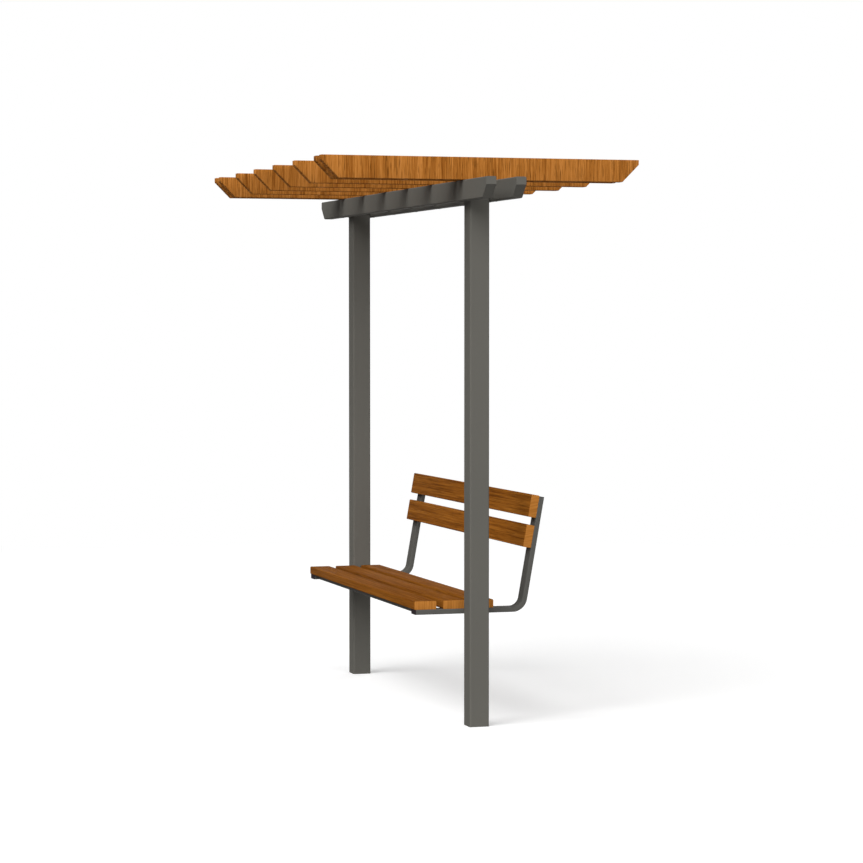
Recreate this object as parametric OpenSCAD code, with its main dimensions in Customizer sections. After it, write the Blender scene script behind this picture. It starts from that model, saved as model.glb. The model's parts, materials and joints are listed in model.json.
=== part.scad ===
// Garden pergola with a built-in bench. Two square steel posts carry a pair of
// steel beams, eight timber rafters on edge lie across the beams, and a slatted
// seat with a leaning back hangs between the posts on two bent flat tubes.
//
// Frame: the origin is the centre of the near post's foot, +X points to the
// backrest side, +Y runs along the beams to the far post, +Z is up. Millimetres.

/* [Posts] */
// Side of each square post
post_w = 80; // [60:1:120]
// Wall of the post tube
post_wall = 3; // [2:0.5:5]
// Outer corner radius of the post tube
post_corner = 6; // [5.5:0.5:12]
// Distance between the post centres
post_spacing = 1710; // [1200:10:2400]
// Thickness of the plate that closes the foot of a post
foot_t = 6; // [4:1:12]
// Thickness of the plate that closes the top of a post
post_cap_t = 3; // [2:0.5:6]
// How far the top of a post stays below the top of the beams
post_top_drop = 4; // [1:1:20]

/* [Beams] */
// Clear height from the ground to the underside of the beams
beam_clear = 2060; // [1900:10:2600]
// Height of each beam
beam_h = 80; // [60:1:120]
// Thickness of each beam
beam_t = 40; // [25:1:60]
// Wall of the beam tube
beam_wall = 3; // [2:0.5:5]
// Outer corner radius of the beam tube
beam_corner = 5.5; // [5.5:0.5:9]
// Length of a beam past the outer face of a post
beam_overhang = 323; // [120:1:500]
// Height of the slanting cut under each beam end
beam_cut = 50; // [20:1:58]
// Thickness of the plate that closes a beam end
beam_cap_t = 3; // [2:0.5:5]

/* [Rafters] */
// Height of each rafter
rafter_h = 88; // [85:1:140]
// Thickness of each rafter
rafter_t = 38; // [25:1:60]
// Length of each rafter
rafter_len = 1296; // [700:1:2000]
// Height of the slanting cut under each rafter end
rafter_cut = 69; // [20:1:80]
// Radius of the rafters' planed edges
rafter_arris = 2; // [1:0.5:5]
// Clear gap between the two rafters at a post
pair_gap = 42; // [10:1:120]

/* [Bench] */
// Height of the top of the seat
seat_top = 493; // [400:1:560]
// Distance of the seat's front edge from the centre line of the posts
seat_front = 242; // [180:1:320]
// Width of a seat slat and of a back board
slat_w = 90; // [60:1:120]
// Thickness of a seat slat and of a back board
slat_t = 33; // [20:1:50]
// Gap between seat slats
slat_gap = 28; // [10:1:45]
// Radius of the slats' rounded edges
slat_arris = 4; // [1:0.5:8]
// Gap between the end of a slat and the post beside it
slat_end_gap = 2; // [1:0.5:20]
// Gap between the two back boards, along the lean
back_gap = 31; // [10:1:80]
// Distance from the knee up to the lower back board, along the lean
back_low = 244; // [120:1:320]

/* [Bench frame] */
// Width of the flat tube, along the beams
tube_w = 60; // [40:1:80]
// Thickness of the flat tube
tube_t = 20; // [15:1:30]
// Wall of the flat tube
tube_wall = 2; // [1.5:0.5:3]
// Outer corner radius of the flat tube
tube_corner = 3.5; // [3.5:0.5:5]
// Radius of the tube's bend, on its centre line
bend_r = 50; // [30:1:80]
// Lean of the back from the vertical
back_lean = 10; // [0:1:25]
// Distance of the bend's knee behind the centre line of the posts
knee_x = 208; // [150:1:320]
// How far the front of the tube stays behind the seat's front edge
tube_setback = 4; // [0:1:40]
// Width of the rail between the tubes, under the front slat
rail_w = 40; // [20:1:60]
// How far the upper back board stands above the end of the tube
board_rise = 3; // [0:1:30]
// Thickness of the flange of a tube end plug
plug_flange = 2; // [1:0.5:4]
// Depth of the plug inside the tube
plug_depth = 14; // [8:1:25]
// Clearance of the plug inside the tube
plug_fit = 0.3; // [0.1:0.1:0.6]

/* [Hidden] */
STEEL = [0.36, 0.34, 0.31];
RAFTER_TIMBER = [0.71, 0.44, 0.20];
BENCH_TIMBER = [0.58, 0.34, 0.12];
BLACK_PLASTIC = [0.07, 0.07, 0.07];
ROUND = 48;
FAR = 20;
// How much slimmer the bend of a bench tube is on each side than its legs.
bend_thinning = 0.05;
// Angle by which the bend reaches into each leg.
bend_lap = 0.6;

BAYS = 5;
POST_Y = [0, post_spacing];

beam_z = beam_clear;
beam_top = beam_clear + beam_h;
beam_nose = beam_h - beam_cut;
beam_x = (post_w + beam_t) / 2;
beam_y0 = -post_w / 2 - beam_overhang;
beam_y1 = post_spacing + post_w / 2 + beam_overhang;
post_top = beam_top - post_top_drop;

rafter_nose = rafter_h - rafter_cut;
rafter_z = beam_top + rafter_h / 2;
pair_pitch = pair_gap + rafter_t;
// The inner rafter of each pair is flush with the inner face of its post.
inner_y0 = post_w / 2 - rafter_t / 2;
inner_y1 = post_spacing - inner_y0;
bay = (inner_y1 - inner_y0) / BAYS;
rafter_y = concat([inner_y0 - pair_pitch],
                  [for (i = [0 : BAYS]) inner_y0 + i * bay],
                  [inner_y1 + pair_pitch]);

turn = 90 - back_lean;
tangent = bend_r * tan(turn / 2);
tube_z = seat_top - slat_t - tube_t / 2;
slat_y0 = post_w / 2 + slat_end_gap;
slat_y1 = post_spacing - slat_y0;
slat_pitch = slat_w + slat_gap;
board_low = [back_low, back_low + slat_w + back_gap];
tube_top = board_low[1] + slat_w - board_rise;
tube_front = -seat_front + tube_setback;
// Each bench tube lies against the inner face of its post.
tube_y = [post_w / 2 + tube_w / 2, post_spacing - post_w / 2 - tube_w / 2];
// The rail runs from the inner side of one bench tube to the other.
rail_y = [tube_y[0] + tube_w / 2, tube_y[1] - tube_w / 2];

// Rectangle with round corners, centred.
module rounded_rect(w, h, r) {
    square([w - 2 * r, h], center = true);
    square([w, h - 2 * r], center = true);
    for (sx = [-1, 1], sy = [-1, 1])
        translate([sx * (w / 2 - r), sy * (h / 2 - r)]) circle(r = r, $fn = ROUND);
}

// Cross-section of a tube with round corners, centred.
module tube_section(w, h, r, wall) {
    difference() {
        rounded_rect(w, h, r);
        rounded_rect(w - 2 * wall, h - 2 * wall, r - wall);
    }
}

// Extrudes an outline drawn in Y and Z along X, from x0 to x1.
module along_x(x0, x1) {
    translate([x0, 0, 0]) rotate([90, 0, 90]) linear_extrude(x1 - x0) children();
}

// Extrudes an outline drawn in X and Z along Y, from y0 to y1.
module along_y(y0, y1) {
    translate([0, y1, 0]) rotate([90, 0, 0]) linear_extrude(y1 - y0) children();
}

// Post tube between its foot plate and its top plate.
module post(y) {
    color(STEEL) translate([0, y, foot_t])
        linear_extrude(post_top - post_cap_t - foot_t)
            tube_section(post_w, post_w, post_corner, post_wall);
}

// Plate with the outline of a post, from z up.
module post_plate(y, z, t) {
    color(STEEL) translate([0, y, z]) linear_extrude(t)
        rounded_rect(post_w, post_w, post_corner);
}

// Side outline of a beam in Y and Z, with its two ends moved in by inset.
function beam_outline(inset) =
    let (nose_z = beam_top - beam_nose + inset * (sqrt(2) - 1),
         toe = beam_cut + inset * sqrt(2))
    [[beam_y0 + inset, beam_top], [beam_y0 + inset, nose_z],
     [beam_y0 + toe, beam_z], [beam_y1 - toe, beam_z],
     [beam_y1 - inset, nose_z], [beam_y1 - inset, beam_top]];

// Beam tube beside the posts; side is -1 in front of them and 1 behind them.
module beam(side) {
    color(STEEL) intersection() {
        along_y(beam_y0, beam_y1) translate([side * beam_x, beam_z + beam_h / 2])
            tube_section(beam_t, beam_h, beam_corner, beam_wall);
        along_x(side * beam_x - beam_t, side * beam_x + beam_t)
            polygon(beam_outline(beam_cap_t));
    }
}

// Bent plate that closes one end of a beam, nose and slanting cut together.
module beam_cap(side, y0, y1) {
    color(STEEL) intersection() {
        along_y(y0, y1) translate([side * beam_x, beam_z + beam_h / 2])
            rounded_rect(beam_t, beam_h, beam_corner);
        along_x(side * beam_x - beam_t, side * beam_x + beam_t) difference() {
            polygon(beam_outline(0));
            polygon(beam_inner);
        }
    }
}

// Outline inside the end plates, carried past the beam so that it cuts clear.
beam_inner = let (o = beam_outline(beam_cap_t))
    [o[0] + [0, FAR], o[1], o[2] + [FAR, -FAR],
     o[3] + [-FAR, -FAR], o[4], o[5] + [0, FAR]];

// Timber rafter on edge with slanting ends, centred on y.
module rafter(y) {
    half = rafter_len / 2;
    top = beam_top + rafter_h;
    color(RAFTER_TIMBER) intersection() {
        along_y(y - rafter_t / 2, y + rafter_t / 2)
            polygon([[-half, top], [-half, top - rafter_nose],
                     [-half + rafter_cut, beam_top], [half - rafter_cut, beam_top],
                     [half, top - rafter_nose], [half, top]]);
        along_x(-half, half) translate([y, rafter_z])
            rounded_rect(rafter_t, rafter_h, rafter_arris);
    }
}

// Moves to the knee of the bench tubes, with X forwards along the seat leg.
module at_knee() {
    translate([knee_x, 0, tube_z]) children();
}

// Moves to the knee of the bench tubes, with X up along the leaning leg.
module on_back_leg() {
    at_knee() rotate([0, -turn, 0]) children();
}

// Timber board across both bench tubes, from x up or back along a leg.
module board(x) {
    color(BENCH_TIMBER) along_y(slat_y0, slat_y1)
        translate([x + slat_w / 2, tube_t / 2 + slat_t / 2])
            rounded_rect(slat_w, slat_t, slat_arris);
}

// Seat slat, counted from 0 at the front.
module seat_slat(i) {
    at_knee() board(-seat_front - knee_x + i * slat_pitch);
}

// Back board, counted from 0 at the bottom.
module back_board(i) {
    on_back_leg() board(board_low[i]);
}

// Straight leg of a bench tube between x0 and x1.
module tube_leg(x0, x1) {
    along_x(x0, x1) tube_section(tube_w, tube_t, tube_corner, tube_wall);
}

// Flat tube under the seat that bends up behind it to carry the back. The bend
// is a little slimmer than the legs and reaches a short way into both.
module bench_frame(y) {
    slim = bend_thinning;
    color(STEEL) translate([0, y, 0]) union() {
        at_knee() tube_leg(tube_front + plug_flange - knee_x, -tangent);
        at_knee() translate([-tangent, 0, bend_r]) rotate([90, 0, 0])
            rotate([0, 0, -90 - bend_lap])
                rotate_extrude(angle = turn + 2 * bend_lap, $fn = 96)
                    translate([bend_r, 0])
                        tube_section(tube_t - 2 * slim, tube_w - 2 * slim,
                                     tube_corner - slim, tube_wall - 2 * slim);
        on_back_leg() tube_leg(tangent, tube_top - plug_flange);
    }
}

// Rail between the bench tubes, as thick as they are and centred under the
// front seat slat.
module seat_rail() {
    color(STEEL) along_y(rail_y[0], rail_y[1])
        translate([slat_w / 2 - seat_front, tube_z])
            tube_section(rail_w, tube_t, tube_corner, tube_wall);
}

// End plug with its flange from x0 and its body reaching into the tube.
module plug(x0, inwards) {
    x1 = inwards > 0 ? x0 + plug_flange : x0 - plug_flange;
    x2 = x1 + inwards * plug_depth;
    bore_w = tube_w - 2 * tube_wall - 2 * plug_fit;
    bore_t = tube_t - 2 * tube_wall - 2 * plug_fit;
    color(BLACK_PLASTIC) union() {
        along_x(min(x0, x1), max(x0, x1)) rounded_rect(tube_w, tube_t, tube_corner);
        along_x(min(x1, x2), max(x1, x2))
            rounded_rect(bore_w, bore_t, tube_corner - tube_wall);
    }
}

module plug_front(y) {
    translate([0, y, 0]) at_knee() plug(tube_front - knee_x, 1);
}

module plug_top(y) {
    translate([0, y, 0]) on_back_leg() plug(tube_top, -1);
}

post(POST_Y[0]);  // post_near
post(POST_Y[1]);  // post_far
post_plate(POST_Y[0], 0, foot_t);  // foot_plate_near
post_plate(POST_Y[1], 0, foot_t);  // foot_plate_far
post_plate(POST_Y[0], post_top - post_cap_t, post_cap_t);  // post_cap_near
post_plate(POST_Y[1], post_top - post_cap_t, post_cap_t);  // post_cap_far
beam(-1);  // beam_front
beam(1);  // beam_back
beam_cap(-1, beam_y0, 0);  // beam_cap_front_near
beam_cap(-1, post_spacing, beam_y1);  // beam_cap_front_far
beam_cap(1, beam_y0, 0);  // beam_cap_back_near
beam_cap(1, post_spacing, beam_y1);  // beam_cap_back_far
for (i = [0 : BAYS + 2])
    rafter(rafter_y[i]);
seat_slat(0);  // seat_slat_front
seat_slat(1);  // seat_slat_middle
seat_slat(2);  // seat_slat_rear
back_board(0);  // back_board_lower
back_board(1);  // back_board_upper
bench_frame(tube_y[0]);  // bench_frame_near
bench_frame(tube_y[1]);  // bench_frame_far
seat_rail();  // seat_rail_front
plug_front(tube_y[0]);  // plug_front_near
plug_front(tube_y[1]);  // plug_front_far
plug_top(tube_y[0]);  // plug_top_near
plug_top(tube_y[1]);  // plug_top_far
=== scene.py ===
"""A garden pergola with a built-in bench: finishes, eased timber, fixings and studio.

Two square steel posts carry a pair of steel beams with eight timber rafters on edge.
A slatted seat with a leaning back hangs between the posts on two bent flat tubes,
with a rail from tube to tube under its front slat.
Everything is in metres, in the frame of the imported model: the origin is the centre
of the near post's foot, X points to the backrest side, Y runs along the beams.
"""

import json
import logging
import math
from dataclasses import dataclass
from enum import Enum
from typing import Any, Iterable

import bmesh
import bpy
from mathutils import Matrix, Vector

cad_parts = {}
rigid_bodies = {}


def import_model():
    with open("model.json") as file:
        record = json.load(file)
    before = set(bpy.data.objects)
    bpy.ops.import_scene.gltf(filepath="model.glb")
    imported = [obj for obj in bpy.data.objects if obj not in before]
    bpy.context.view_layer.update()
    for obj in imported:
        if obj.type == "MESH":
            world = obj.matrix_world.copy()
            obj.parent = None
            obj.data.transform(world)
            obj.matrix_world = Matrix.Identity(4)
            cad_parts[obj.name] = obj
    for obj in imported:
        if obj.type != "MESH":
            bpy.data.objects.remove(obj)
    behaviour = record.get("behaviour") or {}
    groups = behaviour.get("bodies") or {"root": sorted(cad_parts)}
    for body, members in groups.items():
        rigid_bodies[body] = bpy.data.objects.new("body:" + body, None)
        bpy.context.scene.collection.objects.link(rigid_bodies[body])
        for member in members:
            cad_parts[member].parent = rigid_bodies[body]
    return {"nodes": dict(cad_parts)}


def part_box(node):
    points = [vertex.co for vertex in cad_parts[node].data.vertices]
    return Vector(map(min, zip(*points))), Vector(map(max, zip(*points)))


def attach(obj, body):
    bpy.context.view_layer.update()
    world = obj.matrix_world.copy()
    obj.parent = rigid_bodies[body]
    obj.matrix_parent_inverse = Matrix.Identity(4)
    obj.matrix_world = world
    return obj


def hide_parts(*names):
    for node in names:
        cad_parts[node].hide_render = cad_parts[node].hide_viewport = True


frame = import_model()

LOG = logging.getLogger("pergola")

Colour = tuple[float, float, float]

BODY = "root"
MM = 0.001
WHITE = (1.0, 1.0, 1.0, 1.0)
BLACK = (0.0, 0.0, 0.0, 1.0)
# The bench's tubes and rail are a little darker than the posts and beams.
BENCH_GREY: Colour = (0.108, 0.105, 0.096)

# The values between which a noise pattern mostly stays, and how much of each finer
# octave it keeps.
NOISE_SPAN = (0.3, 0.7)
NOISE_ROUGHNESS = 0.6

# How far a board's pattern moves along X, Y and Z for each metre of its offset.
OFFSET_SHARES = (1.0, 0.37, 0.61)

# Screw heads: sides of the round parts and of the socket, the washer's height, the
# crown's radius and the height of the socket's middle, as shares of the head's own.
HEAD_SIDES = 28
SOCKET_SIDES = 6
WASHER_SHARE = 0.35
CROWN_SHARE = 0.68
SOCKET_MIDDLE = 0.9

# Weld beads: sides of the bead and points along each of its ripples.
BEAD_SIDES = 12
POINTS_PER_RIPPLE = 5.0

# Boards: points that are merged, faces that count as flat, edges that are eased, and
# the steps of the rounding.
MERGE_DISTANCE = 0.01 * MM
FLAT_ANGLE = math.radians(0.5)
SHARP_ANGLE = math.radians(32)
EASE_SEGMENTS = 3


class Grain(Enum):
    """Which way the streaks of a board run."""

    LENGTHWISE = "along the board"
    CROSSWISE = "across the height of the board"


class Facing(Enum):
    """Which way the heads of a set of screws look."""

    DOWN = "down"
    BACK = "back, square to the leaning boards"


# ---------------------------------------------------------------- node helpers


class NodeSketch:
    """Adds nodes to a node tree and links them with one call each."""

    def __init__(self, tree: bpy.types.NodeTree) -> None:
        """Starts a sketch on an existing tree.

        Args:
            tree: The material or geometry tree that gets the nodes.
        """
        self.tree = tree

    def add(
        self,
        kind: str,
        inputs: dict[str | int, Any] | None = None,
        **settings: Any,
    ) -> bpy.types.Node:
        """Adds one node.

        Args:
            kind: The node's type name.
            inputs: Socket name or index to a value, or to a socket to link from.
            settings: Properties to set on the node before its inputs.

        Returns:
            The new node.
        """
        node = self.tree.nodes.new(kind)
        for name, value in settings.items():
            setattr(node, name, value)
        for key, value in (inputs or {}).items():
            if isinstance(value, bpy.types.NodeSocket):
                self.tree.links.new(value, node.inputs[key])
            else:
                node.inputs[key].default_value = value
        return node

    def math(self, operation: str, *values: Any) -> bpy.types.NodeSocket:
        """Adds a math node.

        Args:
            operation: The operation's name, such as MULTIPLY.
            values: Numbers or sockets, in order.

        Returns:
            The result's socket.
        """
        kind = "ShaderNodeMath"
        return self.add(kind, dict(enumerate(values)), operation=operation).outputs[0]

    def stretched_noise(
        self,
        where: bpy.types.NodeSocket,
        scale: tuple[float, float, float],
        detail: float,
        distortion: float = 0.0,
    ) -> bpy.types.NodeSocket:
        """Adds noise that is finer along some axes than along others.

        Args:
            where: The coordinates to read.
            scale: Features in each metre along X, Y and Z.
            detail: Octaves of finer noise.
            distortion: How much the pattern is warped.

        Returns:
            The noise value's socket, from 0 to 1.
        """
        stretch = self.add("ShaderNodeVectorMath", {0: where, 1: scale}, operation="MULTIPLY")
        noise = self.add(
            "ShaderNodeTexNoise",
            {
                "Vector": stretch.outputs[0],
                "Scale": 1.0,
                "Detail": detail,
                "Roughness": NOISE_ROUGHNESS,
                "Distortion": distortion,
            },
        )
        return noise.outputs["Fac"]

    def ramp(
        self,
        factor: bpy.types.NodeSocket,
        stops: Iterable[tuple[float, Colour]],
    ) -> bpy.types.NodeSocket:
        """Adds a colour ramp.

        Args:
            factor: What chooses the colour.
            stops: Positions from 0 to 1 with their linear colours.

        Returns:
            The colour's socket.
        """
        node = self.add("ShaderNodeValToRGB", {"Fac": factor})
        elements = node.color_ramp.elements
        for index, (position, colour) in enumerate(stops):
            if index >= len(elements):
                elements.new(position)
            elements[index].position = position
            elements[index].color = (*colour, 1.0)
        return node.outputs["Color"]

    def remap(
        self,
        value: bpy.types.NodeSocket,
        source: tuple[float, float],
        target: tuple[float, float],
    ) -> bpy.types.NodeSocket:
        """Maps one range of values onto another, clamped at both ends.

        Args:
            value: The value to map.
            source: The range it comes from.
            target: The range it goes to.

        Returns:
            The mapped value's socket.
        """
        limits = {"From Min": source[0], "From Max": source[1]}
        limits |= {"To Min": target[0], "To Max": target[1]}
        return self.add("ShaderNodeMapRange", {"Value": value, **limits}).outputs["Result"]

    def blend_colours(
        self,
        factor: bpy.types.NodeSocket,
        first: Any,
        second: Any,
    ) -> bpy.types.NodeSocket:
        """Blends two colours.

        A Mix node has a socket of each name for numbers, vectors and colours, so those
        for colours are picked by their place.

        Args:
            factor: How much of the second colour shows.
            first: A colour socket or a linear colour with alpha.
            second: A colour socket or a linear colour with alpha.

        Returns:
            The colour's socket.
        """
        inputs = {0: factor, 6: first, 7: second}
        return self.add("ShaderNodeMix", inputs, data_type="RGBA").outputs[2]

    def bump(self, height: bpy.types.NodeSocket, strength: float, depth: float) -> Any:
        """Adds a bump node and returns its normal.

        Args:
            height: The height pattern, from 0 to 1.
            strength: How much of the bump shows.
            depth: The real depth of the pattern in metres.

        Returns:
            The normal's socket.
        """
        inputs = {"Height": height, "Strength": strength, "Distance": depth}
        return self.add("ShaderNodeBump", inputs).outputs["Normal"]


def new_material(name: str) -> tuple[bpy.types.Material, NodeSketch]:
    """Makes an empty node material.

    Args:
        name: The material's name.

    Returns:
        The material and a sketch on its cleared tree.
    """
    material = bpy.data.materials.new(name)
    material.use_nodes = True
    material.node_tree.nodes.clear()
    return material, NodeSketch(material.node_tree)


def surface_output(sketch: NodeSketch, shader: bpy.types.Node) -> None:
    """Links a shader node to a new material output.

    Args:
        sketch: The material's sketch.
        shader: The node whose first output is the surface.
    """
    sketch.add("ShaderNodeOutputMaterial", {"Surface": shader.outputs[0]})


def toned(colour: Colour, share: float) -> Colour:
    """Gives a lighter or darker tone of a linear colour.

    Args:
        colour: The colour.
        share: What every channel is multiplied by.

    Returns:
        The tone.
    """
    red, green, blue = colour
    return (share * red, share * green, share * blue)


def two_tones(colour: Colour, low: float) -> tuple[tuple[float, Colour], ...]:
    """Gives the ramp stops from a darker tone of a colour up to the colour.

    Args:
        colour: The linear colour at the top of the ramp.
        low: The darker tone's share of it.

    Returns:
        The two stops.
    """
    return ((NOISE_SPAN[0], toned(colour, low)), (NOISE_SPAN[1], colour))


# -------------------------------------------------------------------- finishes


@dataclass(frozen=True)
class PowderCoat:
    """Matt powder coat with a fine orange peel and a slight cloudiness."""

    name: str
    colour: Colour = (0.135, 0.130, 0.115)
    cloudiness: float = 0.06
    clouds_per_metre: tuple[float, float, float] = (5.0, 5.0, 1.6)
    speckle: float = 0.10
    roughness: tuple[float, float] = (0.66, 0.74)
    specular: float = 0.02
    peel_per_metre: float = 900.0
    peel_depth: float = 0.12 * MM
    peel_strength: float = 0.35

    def build(self) -> bpy.types.Material:
        """Makes the material.

        Returns:
            The material.
        """
        material, sketch = new_material(self.name)
        where = sketch.add("ShaderNodeTexCoord").outputs["Object"]
        cloud = sketch.stretched_noise(where, self.clouds_per_metre, detail=2.0)
        peel = sketch.stretched_noise(where, (self.peel_per_metre,) * 3, detail=2.0)
        shade = sketch.math(
            "ADD",
            sketch.remap(cloud, NOISE_SPAN, (1.0 - self.cloudiness, 1.0)),
            sketch.remap(peel, NOISE_SPAN, (-self.speckle / 2, self.speckle / 2)),
        )
        tint = sketch.blend_colours(shade, BLACK, (*self.colour, 1.0))
        shader = sketch.add(
            "ShaderNodeBsdfPrincipled",
            {
                "Base Color": tint,
                "Roughness": sketch.remap(cloud, NOISE_SPAN, self.roughness),
                "Specular IOR Level": self.specular,
                "Normal": sketch.bump(peel, self.peel_strength, self.peel_depth),
            },
        )
        surface_output(sketch, shader)
        return material


@dataclass(frozen=True)
class GrainLayer:
    """One layer of a timber's grain.

    The fineness is how many of its marks lie side by side in the width of one streak,
    the density how many lie in each metre along the streaks. Detail and distortion are
    those of the noise.
    """

    fineness: float
    density: float
    detail: float
    distortion: float = 0.0


@dataclass(frozen=True)
class StainedTimber:
    """Stained hardwood with fine streaks, pores and separate end grain.

    Broad bands, streaks and fibres add up to the tone of the face. Past the two places
    along Y in ends_y the end grain shows, if there is a colour for it. The tilt and the
    offset turn and move the pattern, so that no two boards are alike.
    """

    name: str
    grain: Grain
    light: Colour
    middle: Colour
    dark: Colour
    end: Colour | None = None
    ends_y: tuple[float, float] = (0.0, 0.0)
    pore: Colour = (0.13, 0.045, 0.006)
    pore_depth: float = 0.75
    pore_limits: tuple[float, float] = (0.33, 0.41)
    tilt: float = 0.0
    offset: float = 0.0
    streaks_per_metre: float = 170.0
    shortness: float = 1.0
    bands: GrainLayer = GrainLayer(0.16, 1.1, detail=2.0, distortion=0.5)
    streaks: GrainLayer = GrainLayer(1.0, 5.5, detail=3.0, distortion=0.3)
    fibres: GrainLayer = GrainLayer(5.0, 28.0, detail=2.0)
    pores: GrainLayer = GrainLayer(1.7, 15.0, detail=1.0)
    band_share: float = 0.26
    streak_share: float = 0.52
    fibre_share: float = 0.22
    tones: tuple[float, float, float] = (0.385, 0.50, 0.615)
    ring_fineness: float = 1.1
    rings_along_y_and_z: tuple[float, float] = (4.0, 9.0)
    ring_limits: tuple[float, float] = (0.38, 0.60)
    ring_shade: float = 0.50
    roughness: tuple[float, float] = (0.78, 0.66)
    specular: float = 0.01
    fibre_height: float = 0.5
    grain_depth: float = 0.25 * MM
    grain_strength: float = 0.45

    def _layer(
        self,
        sketch: NodeSketch,
        where: bpy.types.NodeSocket,
        layer: GrainLayer,
    ) -> bpy.types.NodeSocket:
        """Adds the noise of one layer, drawn out the way the grain runs.

        Args:
            sketch: The material's sketch.
            where: The coordinates to read.
            layer: What the layer is like.

        Returns:
            The noise value's socket, from 0 to 1.
        """
        fine = self.streaks_per_metre * layer.fineness
        along = layer.density * self.shortness
        upwards = fine if self.grain is Grain.LENGTHWISE else along
        return sketch.stretched_noise(
            where, (fine, along, upwards), layer.detail, layer.distortion
        )

    def _end_grain(
        self,
        sketch: NodeSketch,
        spot: bpy.types.NodeSocket,
        turned: bpy.types.NodeSocket,
        face: bpy.types.NodeSocket,
    ) -> bpy.types.NodeSocket:
        """Adds the ringed end grain past the two ends of the face.

        Args:
            sketch: The material's sketch.
            spot: The object's own coordinates.
            turned: The coordinates of the pattern.
            face: The colour between the ends.

        Returns:
            The socket of the whole board's colour.
        """
        rings = (self.streaks_per_metre * self.ring_fineness, *self.rings_along_y_and_z)
        ring = sketch.stretched_noise(turned, rings, detail=2.0, distortion=0.4)
        end_face = sketch.blend_colours(
            sketch.remap(ring, self.ring_limits, (self.ring_shade, 0.0)),
            (*self.end, 1.0),
            (*self.middle, 1.0),
        )
        along = sketch.add("ShaderNodeSeparateXYZ", {"Vector": spot}).outputs["Y"]
        is_end = sketch.math(
            "ADD",
            sketch.math("LESS_THAN", along, self.ends_y[0]),
            sketch.math("GREATER_THAN", along, self.ends_y[1]),
        )
        return sketch.blend_colours(is_end, face, end_face)

    def build(self) -> bpy.types.Material:
        """Makes the material.

        Returns:
            The material.
        """
        material, sketch = new_material(self.name)
        spot = sketch.add("ShaderNodeTexCoord").outputs["Object"]
        turned = sketch.add(
            "ShaderNodeMapping",
            {
                "Vector": spot,
                "Rotation": (0.0, self.tilt, 0.0),
                "Location": tuple(self.offset * share for share in OFFSET_SHARES),
            },
        ).outputs["Vector"]
        band = self._layer(sketch, turned, self.bands)
        streak = self._layer(sketch, turned, self.streaks)
        fibre = self._layer(sketch, turned, self.fibres)
        tone = sketch.math(
            "ADD",
            sketch.math("MULTIPLY", band, self.band_share),
            sketch.math(
                "ADD",
                sketch.math("MULTIPLY", streak, self.streak_share),
                sketch.math("MULTIPLY", fibre, self.fibre_share),
            ),
        )
        face = sketch.ramp(tone, zip(self.tones, (self.dark, self.middle, self.light)))
        dash = self._layer(sketch, turned, self.pores)
        pore = sketch.remap(dash, self.pore_limits, (1.0, 0.0))
        face = sketch.blend_colours(
            sketch.math("MULTIPLY", pore, self.pore_depth), face, (*self.pore, 1.0)
        )
        if self.end is not None:
            face = self._end_grain(sketch, spot, turned, face)
        relief = sketch.math("ADD", streak, sketch.math("MULTIPLY", fibre, self.fibre_height))
        shader = sketch.add(
            "ShaderNodeBsdfPrincipled",
            {
                "Base Color": face,
                "Roughness": sketch.remap(tone, NOISE_SPAN, self.roughness),
                "Specular IOR Level": self.specular,
                "Normal": sketch.bump(relief, self.grain_strength, self.grain_depth),
            },
        )
        surface_output(sketch, shader)
        return material


@dataclass(frozen=True)
class MouldedPlastic:
    """Black moulded plastic with a fine spark-eroded grain."""

    name: str
    colour: Colour = (0.045, 0.036, 0.040)
    low_tone: float = 0.8
    roughness: tuple[float, float] = (0.75, 0.88)
    specular: float = 0.0
    grain_per_metre: float = 2200.0
    grain_depth: float = 0.05 * MM
    grain_strength: float = 0.3

    def build(self) -> bpy.types.Material:
        """Makes the material.

        Returns:
            The material.
        """
        material, sketch = new_material(self.name)
        where = sketch.add("ShaderNodeTexCoord").outputs["Object"]
        grain = sketch.stretched_noise(where, (self.grain_per_metre,) * 3, detail=1.0)
        shader = sketch.add(
            "ShaderNodeBsdfPrincipled",
            {
                "Base Color": sketch.ramp(grain, two_tones(self.colour, self.low_tone)),
                "Roughness": sketch.remap(grain, NOISE_SPAN, self.roughness),
                "Specular IOR Level": self.specular,
                "Normal": sketch.bump(grain, self.grain_strength, self.grain_depth),
            },
        )
        surface_output(sketch, shader)
        return material


@dataclass(frozen=True)
class StainlessSteel:
    """Tumbled stainless steel for the screw heads."""

    name: str
    colour: Colour = (0.52, 0.51, 0.49)
    low_tone: float = 0.85
    roughness: tuple[float, float] = (0.26, 0.42)
    scuffs_per_metre: tuple[float, float, float] = (1500.0, 1500.0, 500.0)

    def build(self) -> bpy.types.Material:
        """Makes the material.

        Returns:
            The material.
        """
        material, sketch = new_material(self.name)
        where = sketch.add("ShaderNodeTexCoord").outputs["Object"]
        scuff = sketch.stretched_noise(where, self.scuffs_per_metre, detail=2.0)
        shader = sketch.add(
            "ShaderNodeBsdfPrincipled",
            {
                "Base Color": sketch.ramp(scuff, two_tones(self.colour, self.low_tone)),
                "Metallic": 1.0,
                "Roughness": sketch.remap(scuff, NOISE_SPAN, self.roughness),
            },
        )
        surface_output(sketch, shader)
        return material


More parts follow.
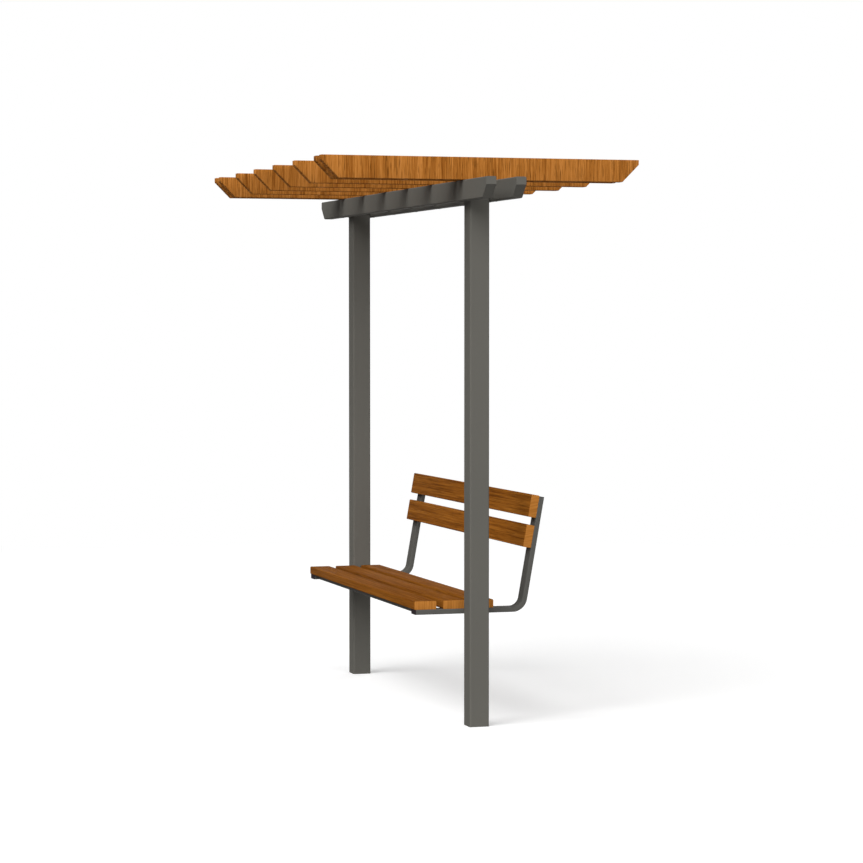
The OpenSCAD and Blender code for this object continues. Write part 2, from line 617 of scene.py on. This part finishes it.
@dataclass(frozen=True)
class StudioFloor:
    """White floor that reads as paper to the camera and keeps a faint shadow.

    It shows lighter than it lights the object from below. Near the posts a share of it
    is glow and the rest takes the shadow, and over the fade, from the first to the
    second distance from the near post in metres, the glow takes over.
    """

    name: str
    shown_albedo: float = 1.27
    bounce_albedo: float = 0.22
    glow_near: float = 0.29
    fade: tuple[float, float] = (3.0, 9.0)

    def build(self) -> bpy.types.Material:
        """Makes the material.

        Returns:
            The material.
        """
        material, sketch = new_material(self.name)
        seen = seen_directly(sketch)
        tone = sketch.remap(seen, (0.0, 1.0), (self.bounce_albedo, self.shown_albedo))
        paint = sketch.add("ShaderNodeBsdfDiffuse", {"Color": tone})
        glow = sketch.add("ShaderNodeEmission", {"Color": WHITE})
        where = sketch.add("ShaderNodeTexCoord").outputs["Object"]
        reach = sketch.add("ShaderNodeVectorMath", {0: where}, operation="LENGTH")
        share = sketch.remap(reach.outputs["Value"], self.fade, (self.glow_near, 1.0))
        mix = sketch.add(
            "ShaderNodeMixShader",
            {
                0: sketch.math("MULTIPLY", seen, share),
                1: paint.outputs[0],
                2: glow.outputs[0],
            },
        )
        surface_output(sketch, mix)
        return material


def seen_directly(sketch: NodeSketch) -> bpy.types.NodeSocket:
    """Tells rays that show a background from rays that light the object.

    Args:
        sketch: The tree that gets the nodes.

    Returns:
        A socket that is 1 for camera, glossy and transmission rays, else 0.
    """
    path = sketch.add("ShaderNodeLightPath")
    mirrored = sketch.math(
        "MAXIMUM", path.outputs["Is Glossy Ray"], path.outputs["Is Transmission Ray"]
    )
    return sketch.math("MAXIMUM", path.outputs["Is Camera Ray"], mirrored)


# -------------------------------------------------------------- geometry nodes


class NodeTool:
    """A geometry node tree with named inputs, run once on a mesh and baked."""

    def __init__(self, name: str, sizes: Iterable[str], turned: bool = False) -> None:
        """Makes the tree's interface.

        Args:
            name: The tree's name.
            sizes: Names of its float inputs.
            turned: Whether it has a vector input for the way its pieces face.
        """
        self.tree = bpy.data.node_groups.new(name, "GeometryNodeTree")
        self.sketch = NodeSketch(self.tree)
        self.ids: dict[str, str] = {}
        self._socket("Geometry", "NodeSocketGeometry")
        for size in sizes:
            self._socket(size, "NodeSocketFloat")
        if turned:
            self._socket("Facing", "NodeSocketVector")
        self._socket("Finish", "NodeSocketMaterial")
        self.tree.interface.new_socket(
            "Geometry", in_out="OUTPUT", socket_type="NodeSocketGeometry"
        )
        self.inputs = self.sketch.add("NodeGroupInput").outputs

    def _socket(self, name: str, kind: str) -> None:
        """Adds one input and keeps its identifier.

        Args:
            name: The input's name.
            kind: The type name of its socket.
        """
        socket = self.tree.interface.new_socket(name, in_out="INPUT", socket_type=kind)
        self.ids[name] = socket.identifier

    def close(self, geometry: bpy.types.NodeSocket) -> None:
        """Ends the tree with real geometry that carries its finish.

        Args:
            geometry: What the tree has made so far.
        """
        real = self.sketch.add("GeometryNodeRealizeInstances", {"Geometry": geometry})
        dressed = self.sketch.add(
            "GeometryNodeSetMaterial",
            {"Geometry": real.outputs[0], "Material": self.inputs["Finish"]},
        )
        self.sketch.add("NodeGroupOutput", {"Geometry": dressed.outputs[0]})

    def run(self, name: str, base: bpy.types.Mesh, values: dict[str, Any]) -> bpy.types.Object:
        """Runs the tree on a mesh and bakes the result.

        Args:
            name: Name of the finished piece.
            base: The mesh of points or edges that the tree works from.
            values: Input names with their values.

        Returns:
            A plain mesh object at the origin.
        """
        holder = bpy.data.objects.new(name + "_base", base)
        bpy.context.scene.collection.objects.link(holder)
        modifier = holder.modifiers.new("tool", "NODES")
        modifier.node_group = self.tree
        for key, value in values.items():
            modifier[self.ids[key]] = value
        mesh = baked(holder)
        bpy.data.objects.remove(holder)
        return link_mesh(name, mesh)


def screw_tool() -> NodeTool:
    """Builds the tree that sets a washer and a socket head on every point.

    Half of the washer is sunk in the surface, and the head stands on the surface.

    Returns:
        The finished tool.
    """
    lengths = ("Head Radius", "Head Height", "Socket Radius", "Washer Radius")
    tool = NodeTool("screw_heads", lengths, turned=True)
    sketch, sizes = tool.sketch, tool.inputs
    washer_height = sketch.math("MULTIPLY", sizes["Head Height"], WASHER_SHARE)
    washer = sketch.add(
        "GeometryNodeMeshCylinder",
        {"Vertices": HEAD_SIDES, "Radius": sizes["Washer Radius"], "Depth": washer_height},
    )
    crown = sketch.math("MULTIPLY", sizes["Head Radius"], CROWN_SHARE)
    head = sketch.add(
        "GeometryNodeMeshCone",
        {
            "Vertices": HEAD_SIDES,
            "Radius Top": crown,
            "Radius Bottom": sizes["Head Radius"],
            "Depth": sizes["Head Height"],
        },
    )
    recess = sketch.add(
        "GeometryNodeMeshCylinder",
        {
            "Vertices": SOCKET_SIDES,
            "Radius": sizes["Socket Radius"],
            "Depth": sizes["Head Height"],
        },
    )
    middle_height = sketch.math("MULTIPLY", sizes["Head Height"], SOCKET_MIDDLE)
    lift = sketch.add("ShaderNodeCombineXYZ", {"Z": middle_height})
    raised = sketch.add(
        "GeometryNodeTransform",
        {"Geometry": recess.outputs["Mesh"], "Translation": lift.outputs[0]},
    )
    drilled = sketch.add(
        "GeometryNodeMeshBoolean",
        {"Mesh 1": head.outputs["Mesh"], "Mesh 2": raised.outputs[0]},
        operation="DIFFERENCE",
        solver="EXACT",
    )
    screw = sketch.add("GeometryNodeJoinGeometry")
    for part in (washer.outputs["Mesh"], drilled.outputs["Mesh"]):
        sketch.tree.links.new(part, screw.inputs[0])
    placed = sketch.add(
        "GeometryNodeInstanceOnPoints",
        {
            "Points": sizes["Geometry"],
            "Instance": screw.outputs[0],
            "Rotation": sizes["Facing"],
        },
    )
    tool.close(placed.outputs[0])
    return tool


def weld_tool() -> NodeTool:
    """Builds the tree that lays a rippled weld bead along every edge.

    Returns:
        The finished tool.
    """
    tool = NodeTool("weld_beads", ("Bead Radius", "Ripple Pitch", "Ripple Depth"))
    sketch, sizes = tool.sketch, tool.inputs
    path = sketch.add("GeometryNodeMeshToCurve", {"Mesh": sizes["Geometry"]})
    step = sketch.math("DIVIDE", sizes["Ripple Pitch"], POINTS_PER_RIPPLE)
    fine = sketch.add(
        "GeometryNodeResampleCurve",
        {"Curve": path.outputs[0], "Length": step},
        mode="LENGTH",
    )
    travelled = sketch.add("GeometryNodeSplineParameter").outputs["Length"]
    turns = sketch.math("DIVIDE", travelled, sizes["Ripple Pitch"])
    wave = sketch.math("SINE", sketch.math("MULTIPLY", turns, math.tau))
    swell = sketch.math("ADD", 1.0, sketch.math("MULTIPLY", wave, sizes["Ripple Depth"]))
    radius = sketch.math("MULTIPLY", swell, sizes["Bead Radius"])
    profile = sketch.add(
        "GeometryNodeCurvePrimitiveCircle",
        {"Resolution": BEAD_SIDES, "Radius": 1.0},
        mode="RADIUS",
    )
    bead = sketch.add(
        "GeometryNodeCurveToMesh",
        {
            "Curve": fine.outputs[0],
            "Profile Curve": profile.outputs[0],
            "Scale": radius,
            "Fill Caps": True,
        },
    )
    smooth = sketch.add("GeometryNodeSetShadeSmooth", {"Geometry": bead.outputs[0]})
    tool.close(smooth.outputs[0])
    return tool


# ---------------------------------------------------------------- mesh helpers


def link_mesh(name: str, mesh: bpy.types.Mesh) -> bpy.types.Object:
    """Puts a mesh in the scene as an object at the origin.

    Args:
        name: The object's and the mesh's name.
        mesh: The mesh, with its place in its vertices.

    Returns:
        The new object.
    """
    mesh.name = name
    piece = bpy.data.objects.new(name, mesh)
    bpy.context.scene.collection.objects.link(piece)
    return piece


def points_mesh(name: str, points: Iterable[Vector]) -> bpy.types.Mesh:
    """Makes a mesh of loose points.

    Args:
        name: The mesh's name.
        points: Where the points are.

    Returns:
        The mesh.
    """
    mesh = bpy.data.meshes.new(name)
    mesh.from_pydata([tuple(point) for point in points], [], [])
    return mesh


def edges_mesh(name: str, edges: Iterable[tuple[Vector, Vector]]) -> bpy.types.Mesh:
    """Makes a mesh of separate straight edges.

    Args:
        name: The mesh's name.
        edges: The two ends of each edge.

    Returns:
        The mesh.
    """
    ends = [tuple(end) for edge in edges for end in edge]
    pairs = [(i, i + 1) for i in range(0, len(ends), 2)]
    mesh = bpy.data.meshes.new(name)
    mesh.from_pydata(ends, pairs, [])
    return mesh


def baked(holder: bpy.types.Object) -> bpy.types.Mesh:
    """Turns an object and its modifiers into a plain mesh, and takes them off it.

    Args:
        holder: The object, which keeps its own mesh.

    Returns:
        The new mesh.
    """
    graph = bpy.context.evaluated_depsgraph_get()
    mesh = bpy.data.meshes.new_from_object(holder.evaluated_get(graph))
    holder.modifiers.clear()
    return mesh


def eased_copy(node: str, name: str, ease: float) -> bpy.types.Object:
    """Copies a board and takes the sharpness off its sawn edges.

    Args:
        node: The CAD node to copy.
        name: Name of the new piece.
        ease: Width of the eased edge in metres.

    Returns:
        The finished piece, which stands for the node.
    """
    mesh = frame["nodes"][node].data.copy()
    shape = bmesh.new()
    shape.from_mesh(mesh)
    bmesh.ops.remove_doubles(shape, verts=shape.verts, dist=MERGE_DISTANCE)
    bmesh.ops.dissolve_limit(shape, angle_limit=FLAT_ANGLE, verts=shape.verts, edges=shape.edges)
    shape.to_mesh(mesh)
    shape.free()
    mesh.polygons.foreach_set("use_smooth", [True] * len(mesh.polygons))
    piece = link_mesh(name, mesh)
    bevel = piece.modifiers.new("eased edges", "BEVEL")
    bevel.width = ease
    bevel.segments = EASE_SEGMENTS
    bevel.limit_method = "ANGLE"
    bevel.angle_limit = SHARP_ANGLE
    bevel.harden_normals = True
    piece.data = baked(piece)
    piece.data.name = name
    return piece


def dress(piece: bpy.types.Object, material: bpy.types.Material) -> None:
    """Gives every slot of a piece one material.

    Args:
        piece: The object to dress.
        material: Its finish.
    """
    if not piece.material_slots:
        piece.data.materials.append(material)
    for slot in piece.material_slots:
        slot.material = material


def adopt(piece: bpy.types.Object, slot: str, *nodes: str) -> None:
    """Ties a finished piece to the frame and reports it.

    Args:
        piece: The new object.
        slot: The record's material slot for its finish.
        nodes: CAD nodes that the piece stands for.
    """
    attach(piece, BODY)
    if nodes:
        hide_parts(*nodes)
    LOG.info("%s: %d faces, %s", piece.name, len(piece.data.polygons), slot)


# ---------------------------------------------------------------- sub-assemblies


@dataclass
class SteelFrame:
    """Posts, beams, their plates, the two bent bench tubes and the rail."""

    finish: PowderCoat
    bench_finish: PowderCoat
    prefixes: tuple[str, ...] = ("post_", "foot_plate_", "beam_")
    bench_prefixes: tuple[str, ...] = ("bench_frame_", "seat_rail_")
    bead_radius: float = 2.6 * MM
    ripple_pitch: float = 3.0 * MM
    ripple_depth: float = 0.10
    end_margin: float = 7.0 * MM

    def build(self) -> None:
        """Dresses the steel nodes and adds the weld beads."""
        coat = self.finish.build()
        bench_coat = self.bench_finish.build()
        for name, node in frame["nodes"].items():
            for prefixes, paint in ((self.prefixes, coat), (self.bench_prefixes, bench_coat)):
                if name.startswith(prefixes):
                    dress(node, paint)
                    LOG.info("%s: %s", name, paint.name)
        beads = weld_tool().run(
            "weld_beads",
            edges_mesh("weld_lines", self._weld_lines()),
            {
                "Bead Radius": self.bead_radius,
                "Ripple Pitch": self.ripple_pitch,
                "Ripple Depth": self.ripple_depth,
                "Finish": coat,
            },
        )
        adopt(beads, "frame_paint")

    def _weld_lines(self) -> list[tuple[Vector, Vector]]:
        """Gives the lines where posts, beams, bench tubes and rail meet.

        Returns:
            The two ends of each line.
        """
        lines = []
        rail_low, rail_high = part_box("seat_rail_front")
        for y in (rail_low.y, rail_high.y):
            x0, x1 = rail_low.x + self.end_margin, rail_high.x - self.end_margin
            lines.append((Vector((x0, y, rail_low.z)), Vector((x1, y, rail_low.z))))
        for end in ("near", "far"):
            post_low, post_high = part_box("post_" + end)
            flange_low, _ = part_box("plug_front_" + end)
            y0, y1 = post_low.y + self.end_margin, post_high.y - self.end_margin
            for beam in ("beam_front", "beam_back"):
                beam_low, beam_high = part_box(beam)
                face = beam_high.x if beam == "beam_front" else beam_low.x
                lines.append((Vector((face, y0, beam_low.z)), Vector((face, y1, beam_low.z))))
            inner = post_high.y if end == "near" else post_low.y
            x0, x1 = post_low.x + self.end_margin, post_high.x - self.end_margin
            z = flange_low.z
            lines.append((Vector((x0, inner, z)), Vector((x1, inner, z))))
        return lines


def rafter_names() -> list[str]:
    """Gives the names of the rafter nodes, from the near end on."""
    return sorted(name for name in frame["nodes"] if name.startswith("rafter_"))


@dataclass
class RafterDeck:
    """Timber rafters on edge across the beams, with the same streaks on all faces."""

    light: Colour = (0.57, 0.225, 0.050)
    middle: Colour = (0.43, 0.158, 0.027)
    dark: Colour = (0.24, 0.072, 0.008)
    ease: float = 1.0 * MM
    offset_step: float = 3.7
    streaks_per_metre: float = 205.0

    def build(self) -> None:
        """Makes, dresses and ties each rafter."""
        for number, node in enumerate(rafter_names(), start=1):
            finish = StainedTimber(
                name=f"{node}_stain",
                grain=Grain.CROSSWISE,
                light=self.light,
                middle=self.middle,
                dark=self.dark,
                offset=self.offset_step * number,
                streaks_per_metre=self.streaks_per_metre,
            )
            piece = eased_copy(node, node + "_timber", self.ease)
            dress(piece, finish.build())
            adopt(piece, "rafter_timber", node)


@dataclass
class Bench:
    """Three seat slats, two back boards and the plugs of the bench tubes.

    The back boards are lighter than the slats by the board lift. End grain shows within
    the end depth of each board's two ends.
    """

    slats: tuple[str, ...] = ("seat_slat_front", "seat_slat_middle", "seat_slat_rear")
    boards: tuple[str, ...] = ("back_board_lower", "back_board_upper")
    light: Colour = (0.345, 0.128, 0.018)
    middle: Colour = (0.238, 0.080, 0.0095)
    dark: Colour = (0.118, 0.034, 0.0035)
    end: Colour = (0.470, 0.184, 0.0355)
    board_lift: float = 1.14
    ease: float = 0.8 * MM
    end_depth: float = 0.45 * MM
    offset_step: float = 5.3
    slat_tones: tuple[float, float, float] = (0.345, 0.51, 0.675)
    board_tones: tuple[float, float, float] = (0.385, 0.50, 0.615)
    shortness: float = 0.4

    @property
    def lean(self) -> float:
        """Lean of the back from the vertical.

        Returns:
            The angle in radians.
        """
        low = centre_of(self.boards[0])
        high = centre_of(self.boards[1])
        return math.atan2(high.x - low.x, high.z - low.z)

    def build(self) -> None:
        """Makes, dresses and ties each board, and dresses the plugs."""
        for number, node in enumerate(self.slats + self.boards, start=1):
            low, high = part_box(node)
            leaning = node in self.boards
            lift = self.board_lift if leaning else 1.0
            finish = StainedTimber(
                name=f"{node}_stain",
                grain=Grain.LENGTHWISE,
                light=toned(self.light, lift),
                middle=toned(self.middle, lift),
                dark=toned(self.dark, lift),
                end=self.end,
                ends_y=(low.y + self.end_depth, high.y - self.end_depth),
                tilt=self.lean - math.pi / 2 if leaning else 0.0,
                offset=self.offset_step * number,
                tones=self.board_tones if leaning else self.slat_tones,
                shortness=self.shortness,
            )
            piece = eased_copy(node, node + "_timber", self.ease)
            dress(piece, finish.build())
            adopt(piece, "bench_timber", node)
        plastic = MouldedPlastic("black_plastic").build()
        for name, node in frame["nodes"].items():
            if name.startswith("plug_"):
                dress(node, plastic)
                LOG.info("%s: black plastic", name)


@dataclass
class Fixings:
    """Socket screws under the beams, under the seat and behind the back."""

    bench: Bench
    finish: StainlessSteel
    coat: PowderCoat
    head_radius: float = 6.5 * MM
    head_height: float = 2.4 * MM
    socket_radius: float = 2.9 * MM
    washer_radius: float = 8.5 * MM
    pair_spread: float = 25.0 * MM

    def build(self) -> None:
        """Makes the three sets of screw heads."""
        tool = screw_tool()
        steel = self.finish.build()
        coat = self.coat.build()
        sets = (
            ("screws_under_beams", self._under_beams(), Facing.DOWN, coat),
            ("screws_under_seat", self._under_seat(), Facing.DOWN, steel),
            ("screws_behind_back", self._behind_back(), Facing.BACK, steel),
        )
        for name, points, facing, finish in sets:
            piece = tool.run(
                name,
                points_mesh(name + "_points", points),
                {
                    "Head Radius": self.head_radius,
                    "Head Height": self.head_height,
                    "Socket Radius": self.socket_radius,
                    "Washer Radius": self.washer_radius,
                    "Facing": self._turn(facing),
                    "Finish": finish,
                },
            )
            adopt(piece, "frame_paint")

    def _turn(self, facing: Facing) -> tuple[float, float, float]:
        """Gives the turn that points a head the way it faces.

        Args:
            facing: The way it faces.

        Returns:
            The turns about X, Y and Z in radians.
        """
        if facing is Facing.DOWN:
            return (math.pi, 0.0, 0.0)
        return (0.0, math.pi / 2 + self.bench.lean, 0.0)

    def _under_beams(self) -> list[Vector]:
        """Gives a point under each beam below each rafter.

        Returns:
            The points.
        """
        points = []
        for beam in ("beam_front", "beam_back"):
            low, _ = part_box(beam)
            x = centre_of(beam).x
            for rafter in rafter_names():
                points.append(Vector((x, centre_of(rafter).y, low.z)))
        return points

    def _under_seat(self) -> list[Vector]:
        """Gives a pair of points under each tube for each slat.

        Returns:
            The points.
        """
        points = []
        for end in ("near", "far"):
            low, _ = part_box("plug_front_" + end)
            y = centre_of("plug_front_" + end).y
            for slat in self.bench.slats:
                x = centre_of(slat).x
                for side in (-1, 1):
                    points.append(Vector((x + side * self.pair_spread, y, low.z)))
        return points

    def _behind_back(self) -> list[Vector]:
        """Gives a pair of points behind each upright for each board.

        The boards are as thick as the slats, and the uprights as the plugged tube ends.

        Returns:
            The points.
        """
        points = []
        lean = self.bench.lean
        upwards = Vector((math.sin(lean), 0.0, math.cos(lean)))
        backwards = Vector((math.cos(lean), 0.0, -math.sin(lean)))
        slat_low, slat_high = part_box(self.bench.slats[0])
        tube_low, tube_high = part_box("plug_front_near")
        depth = (slat_high.z - slat_low.z) / 2 + (tube_high.z - tube_low.z)
        for end in ("near", "far"):
            y = centre_of("plug_front_" + end).y
            for board in self.bench.boards:
                middle = centre_of(board) + backwards * depth
                middle.y = y
                for side in (-1, 1):
                    points.append(middle + upwards * side * self.pair_spread)
        return points


def centre_of(node: str) -> Vector:
    """Gives the centre of a CAD node's box.

    Args:
        node: The node's name.

    Returns:
        The centre in metres.
    """
    low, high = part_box(node)
    return (low + high) / 2


# ---------------------------------------------------------------------- studio


@dataclass(frozen=True)
class Lamp:
    """A broad even lamp that is far away.

    The source is the direction from the pergola to the lamp, the spread is the angle
    that it fills, and the level is the share of full brightness that it gives.
    """

    name: str
    source: tuple[float, float, float]
    spread: float
    level: float


@dataclass
class Studio:
    """Camera, lamps, world and floor."""

    camera_place: tuple[float, float, float] = (-3.3506, -10.317, 1.5925)
    camera_pitch: float = math.radians(87.714)
    camera_yaw: float = math.radians(-17.057)
    camera_reach: float = 200.0
    lens: float = 115.4
    ambient: float = 0.11
    lamps: tuple[Lamp, ...] = (
        Lamp("key", (-0.70, -0.21, 0.68), math.radians(38), 0.44),
        Lamp("side_fill", (-0.53, -0.63, 0.57), math.radians(45), 0.50),
        Lamp("front_fill", (0.10, -0.95, 0.28), math.radians(50), 0.50),
        Lamp("rear_fill", (0.69, 0.70, 0.17), math.radians(50), 0.36),
    )
    floor_radius: float = 40.0
    floor_sides: int = 96

    def build(self) -> None:
        """Sets up the whole studio."""
        self._camera()
        self._world()
        self._floor()
        for lamp in self.lamps:
            self._lamp(lamp)
        bpy.context.scene.view_settings.view_transform = "Standard"
        LOG.info("studio: camera, %d lamps, floor and world", len(self.lamps))

    def _camera(self) -> None:
        """Stands the camera in front of the near post, a little to its left."""
        data = bpy.data.cameras.new("camera")
        data.lens = self.lens
        data.clip_end = self.camera_reach
        camera = bpy.data.objects.new("camera", data)
        camera.location = self.camera_place
        camera.rotation_euler = (self.camera_pitch, 0.0, self.camera_yaw)
        bpy.context.scene.collection.objects.link(camera)
        bpy.context.scene.camera = camera

    def _world(self) -> None:
        """Lights the object evenly and shows white behind it."""
        world = bpy.data.worlds.new("studio")
        world.use_nodes = True
        world.node_tree.nodes.clear()
        sketch = NodeSketch(world.node_tree)
        strength = sketch.remap(seen_directly(sketch), (0.0, 1.0), (self.ambient, 1.0))
        light = sketch.add(
            "ShaderNodeBackground",
            {"Color": WHITE, "Strength": strength},
        )
        sketch.add("ShaderNodeOutputWorld", {"Surface": light.outputs[0]})
        bpy.context.scene.world = world

    def _floor(self) -> None:
        """Lays a round pale floor at ground level."""
        shape = bmesh.new()
        bmesh.ops.create_circle(
            shape, cap_ends=True, radius=self.floor_radius, segments=self.floor_sides
        )
        mesh = bpy.data.meshes.new("floor")
        shape.to_mesh(mesh)
        shape.free()
        floor = link_mesh("floor", mesh)
        dress(floor, StudioFloor("floor_paper").build())

    def _lamp(self, lamp: Lamp) -> None:
        """Hangs one lamp.

        A sun of strength pi lights a white face that looks at it to full brightness.

        Args:
            lamp: What the lamp is like.
        """
        data = bpy.data.lights.new(lamp.name, "SUN")
        data.angle = lamp.spread
        data.energy = lamp.level * math.pi
        light = bpy.data.objects.new(lamp.name, data)
        light.rotation_euler = Vector(lamp.source).to_track_quat("Z", "Y").to_euler()
        bpy.context.scene.collection.objects.link(light)


def main() -> None:
    """Builds the pieces and the studio."""
    logging.basicConfig(level=logging.INFO, format="%(name)s: %(message)s")
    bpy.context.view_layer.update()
    bench = Bench()
    SteelFrame(
        PowderCoat("frame_paint_coat"),
        PowderCoat("bench_frame_coat", colour=BENCH_GREY),
    ).build()
    RafterDeck().build()
    bench.build()
    Fixings(bench, StainlessSteel("stainless"), PowderCoat("painted_screws")).build()
    Studio().build()


if __name__ == "__main__":
    main()
